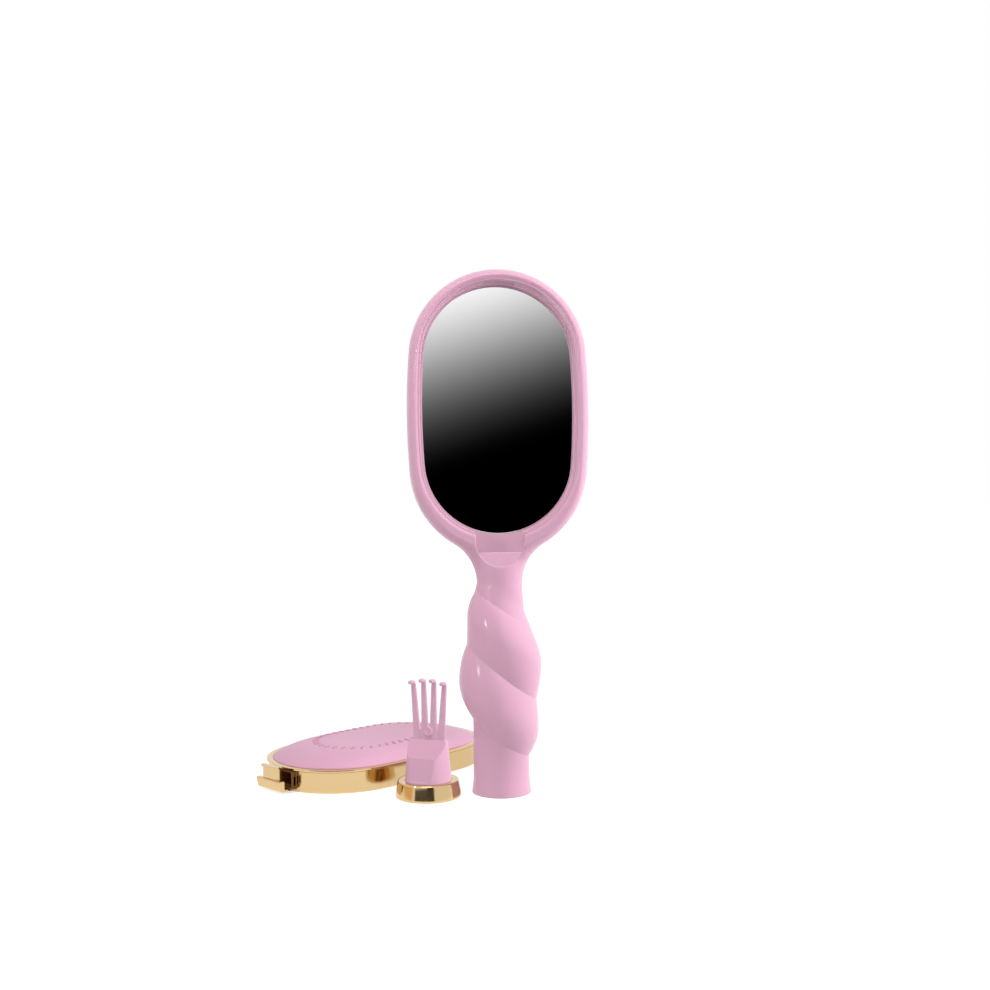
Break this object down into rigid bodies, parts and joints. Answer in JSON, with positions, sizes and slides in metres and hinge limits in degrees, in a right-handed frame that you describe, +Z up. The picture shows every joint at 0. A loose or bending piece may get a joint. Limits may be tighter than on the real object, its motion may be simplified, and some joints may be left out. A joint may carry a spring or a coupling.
{
  "type": "detangling brush",
  "caption": "Upright detangling brush: oval head with a mirror pocket on a twisted grip, a clip-on oval cover with a metal rim, and a small hooked rake that stores in the foot.",
  "frame": {"origin": "middle of the handle's foot, on the table, at the mouth of the rake's socket", "axes": "+Z up the handle, -Y out of the mirror side, +X to the right of a viewer who faces the mirror"},
  "size_m": [0.1526, 0.1214, 0.2349],
  "materials": {
    "pink_plastic": "soft gloss",
    "sleeve_plastic": "satin",
    "mirror": "mirror",
    "adhesive": "matt",
    "cushion_rubber": "matt",
    "bristle_nylon": "satin",
    "gold": "polished plating"
  },
  "bodies": {
    "handle": {"handle_front": "pink_plastic", "handle_rear": "pink_plastic", "socket_sleeve": "sleeve_plastic", "mirror_glass": "mirror", "mirror_pad": "adhesive", "cushion_ring": "pink_plastic"},
    "cushion": {"cushion_pad": "cushion_rubber", "bristles": "bristle_nylon"},
    "cover": {"cover_rim": "gold", "cover_face": "pink_plastic", "cover_panel": "pink_plastic", "cover_ornament": "pink_plastic", "cover_tongue": "gold", "clip_bracket": "gold", "clip_anchor": "gold"},
    "clip": {"release_clip": "gold"},
    "rake": {"rake_base": "gold", "rake_plug": "pink_plastic", "rake_nibs": "pink_plastic", "rake_prongs": "pink_plastic", "rake_boss": "pink_plastic"}
  },
  "joints": [
    {"name": "cushion_press", "type": "slide", "parent": "handle", "child": "cushion", "axis": [0, -1, 0], "range_m": [0, 0.0012], "stiffness_N_per_m": 3000},
    {"name": "cover_lift", "type": "slide", "parent": "handle", "child": "cover", "axis": [0, 0, 1], "range_m": [0, 0.09]},
    {"name": "clip_press", "type": "hinge", "parent": "cover", "child": "clip", "pos_m": [-0.10211, 0.01107, 0.0017], "axis": [-0.682, 0.7314, 0], "range_deg": [0, 9.5], "stiffness_Nm_per_rad": 0.25},
    {"name": "rake_lift", "type": "slide", "parent": "handle", "child": "rake", "axis": [-0.15, -0.2, 0.9682], "range_m": [0, 0.07]}
  ]
}
